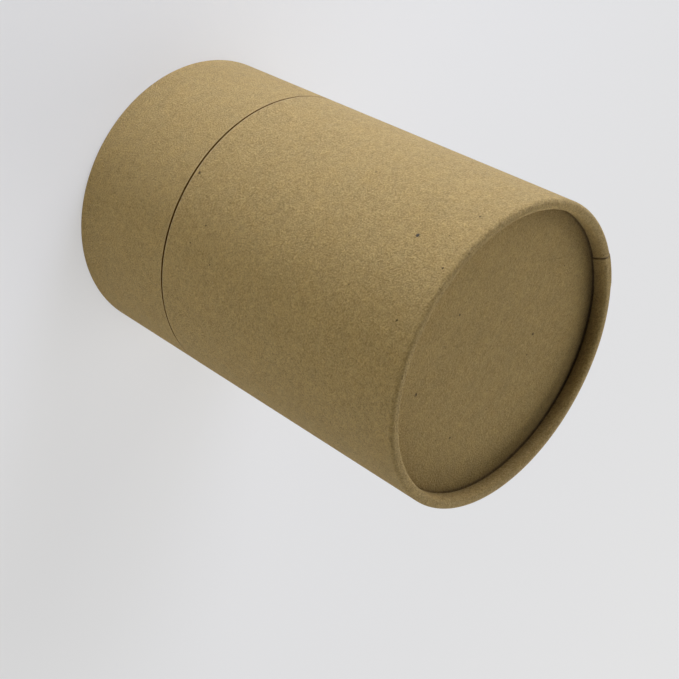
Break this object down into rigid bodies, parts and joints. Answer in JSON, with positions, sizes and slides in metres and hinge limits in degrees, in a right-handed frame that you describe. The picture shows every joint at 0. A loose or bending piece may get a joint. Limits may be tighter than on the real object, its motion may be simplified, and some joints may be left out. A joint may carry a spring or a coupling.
{
  "type": "cardboard tube with lid",
  "caption": "Round kraft cardboard tube with a rolled rim and recessed end disc, closed by a flush slip lid that slides over the tube's inner neck.",
  "frame": {"origin": "centre of the circle on which the lid's rolled rim stands, at the bottom of the part", "axes": "+Z along the tube's axis, from the lid up to the base. A tube rolls on its side, so it stands on its lid, and the base with its recessed disc, which the picture shows, is on top. X and Y are across the round tube"},
  "size_m": [0.08, 0.08, 0.118],
  "materials": {
    "kraft_shell": "matte",
    "kraft_disc": "matte",
    "kraft_neck": "matte"
  },
  "bodies": {
    "lid": {"lid_shell": "kraft_shell", "lid_disc": "kraft_disc"},
    "tube": {"outer_tube": "kraft_shell", "base_disc": "kraft_disc", "neck_tube": "kraft_neck"}
  },
  "joints": [
    {"name": "tube_lift", "type": "slide", "parent": "lid", "child": "tube", "axis": [0, 0, 1], "range_m": [0, 0.05]}
  ]
}
